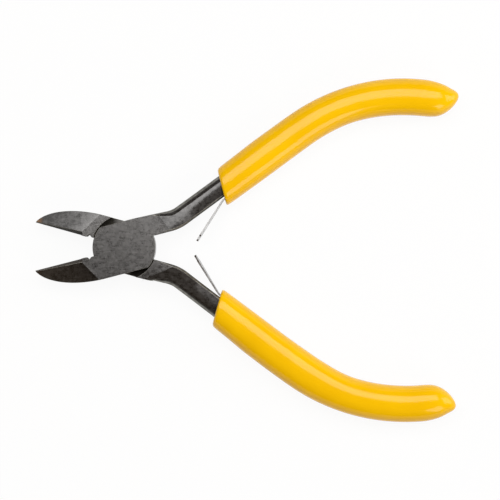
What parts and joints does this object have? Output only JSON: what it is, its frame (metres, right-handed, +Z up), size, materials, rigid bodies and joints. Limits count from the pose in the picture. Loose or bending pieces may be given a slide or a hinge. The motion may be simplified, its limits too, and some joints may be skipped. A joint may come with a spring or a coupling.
{
  "type": "side cutters",
  "caption": "Small hand side cutters with a riveted lap joint, bevelled jaws, leaf springs between the arms and dipped vinyl grips.",
  "frame": {"origin": "on the pivot axis, at the underside of the lap joint", "axes": "+X along the tool's middle line from the jaws to the handles, +Y to the handle that is uppermost in the picture, +Z up out of the pictured face"},
  "size_m": [0.1069, 0.0874, 0.0092],
  "materials": {
    "oxide_steel": "black oxide over ground and forged steel",
    "spring_steel": "bright rolled strip",
    "vinyl": "glossy dipped vinyl"
  },
  "bodies": {
    "front": {"front_lever": "oxide_steel", "pivot_rivet": "oxide_steel", "upper_grip": "vinyl", "upper_spring_root": "spring_steel", "upper_spring_rivet": "spring_steel"},
    "rear": {"rear_lever": "oxide_steel", "lower_grip": "vinyl", "lower_spring_root": "spring_steel", "lower_spring_rivet": "spring_steel"},
    "upper_leaf": {"upper_spring_leaf": "spring_steel"},
    "lower_leaf": {"lower_spring_leaf": "spring_steel"}
  },
  "joints": [
    {"name": "jaw_pivot", "type": "hinge", "parent": "front", "child": "rear", "pos_m": [0, 0, 0.0035], "axis": [0, 0, 1], "range_deg": [-10, 30], "stiffness_Nm_per_rad": 1.2},
    {"name": "upper_leaf_flex", "type": "hinge", "parent": "front", "child": "upper_leaf", "pos_m": [0.02498, 0.01232, 0.0035], "axis": [0, 0, 1], "range_deg": [-20, 6.7]},
    {"name": "lower_leaf_flex", "type": "hinge", "parent": "rear", "child": "lower_leaf", "pos_m": [0.02407, -0.01165, 0.0035], "axis": [0, 0, 1], "range_deg": [-6.7, 20]}
  ],
  "couplings": [
    {"joint": "upper_leaf_flex", "follows": "jaw_pivot", "ratio": -0.6666},
    {"joint": "lower_leaf_flex", "follows": "jaw_pivot", "ratio": 0.6666}
  ]
}
